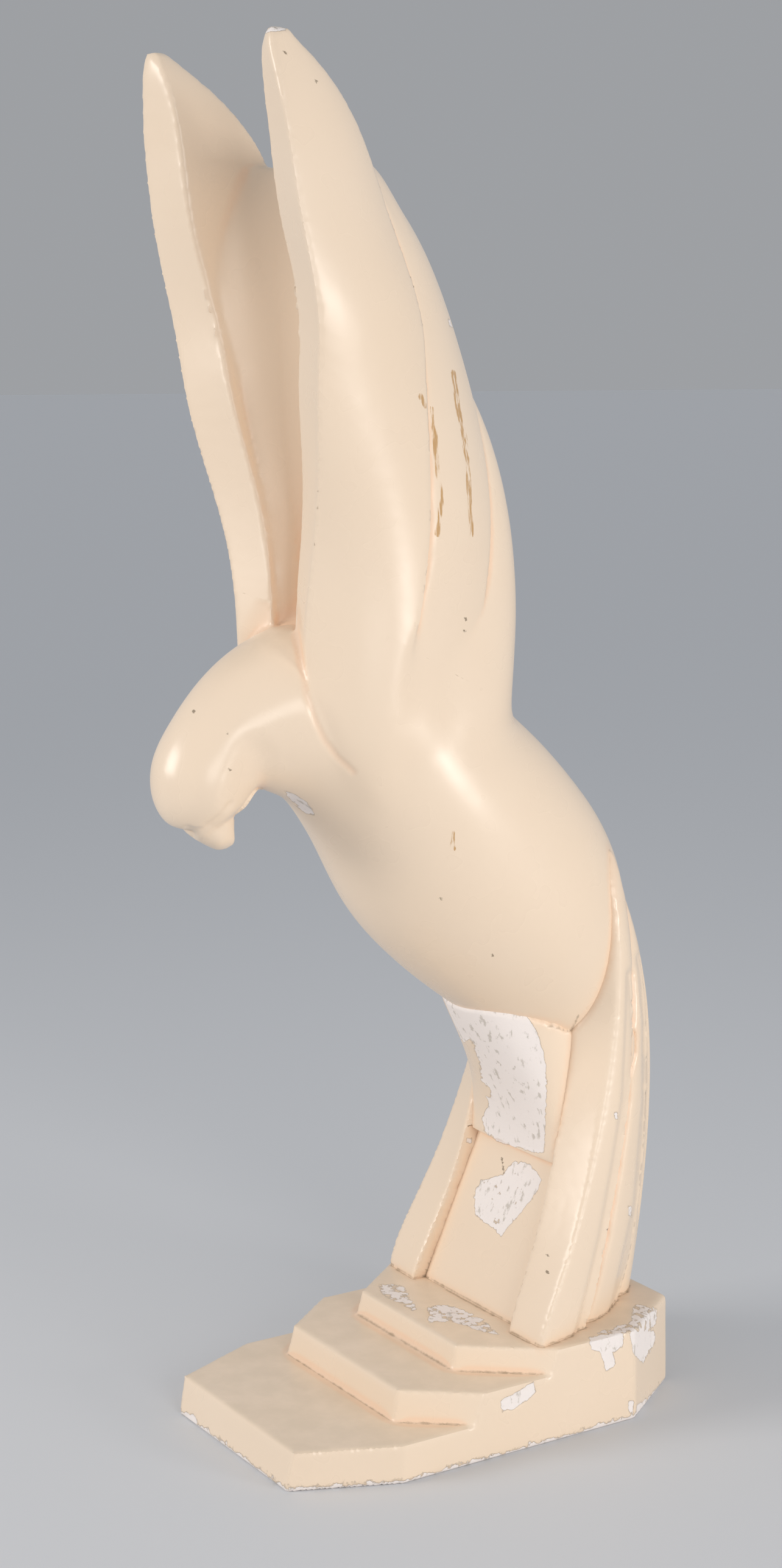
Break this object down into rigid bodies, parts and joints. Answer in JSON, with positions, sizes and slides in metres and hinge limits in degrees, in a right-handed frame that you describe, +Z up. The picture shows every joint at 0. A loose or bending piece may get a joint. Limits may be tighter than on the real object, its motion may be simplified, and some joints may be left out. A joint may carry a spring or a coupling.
{
  "type": "chalkware bird figure",
  "caption": "Cream plaster figure of a stylised bird with raised joined wings, carried on its tail and leg column above a stepped plinth; a free-standing mantel ornament.",
  "frame": {"origin": "middle of the plinth's flat underside", "axes": "+Z up; the bird looks along -Y and its left side is +X"},
  "size_m": [0.128, 0.2334, 0.5605],
  "materials": {
    "cream_lacquer_on_plaster": "semi-gloss cream lacquer brushed over cast gypsum plaster, chipped to the white plaster at the edges",
    "armature_iron": "plain drawn iron rod and wire with a thin brown rust bloom, cast inside the plaster"
  },
  "bodies": {
    "root": {"stepped_plinth": "cream_lacquer_on_plaster", "leg_column": "cream_lacquer_on_plaster", "tail_fan": "cream_lacquer_on_plaster", "bird_body": "cream_lacquer_on_plaster", "left_wing": "cream_lacquer_on_plaster", "right_wing": "cream_lacquer_on_plaster", "column_rod": "armature_iron", "tail_wire": "armature_iron", "left_wing_wire": "armature_iron", "right_wing_wire": "armature_iron"}
  },
  "joints": []
}
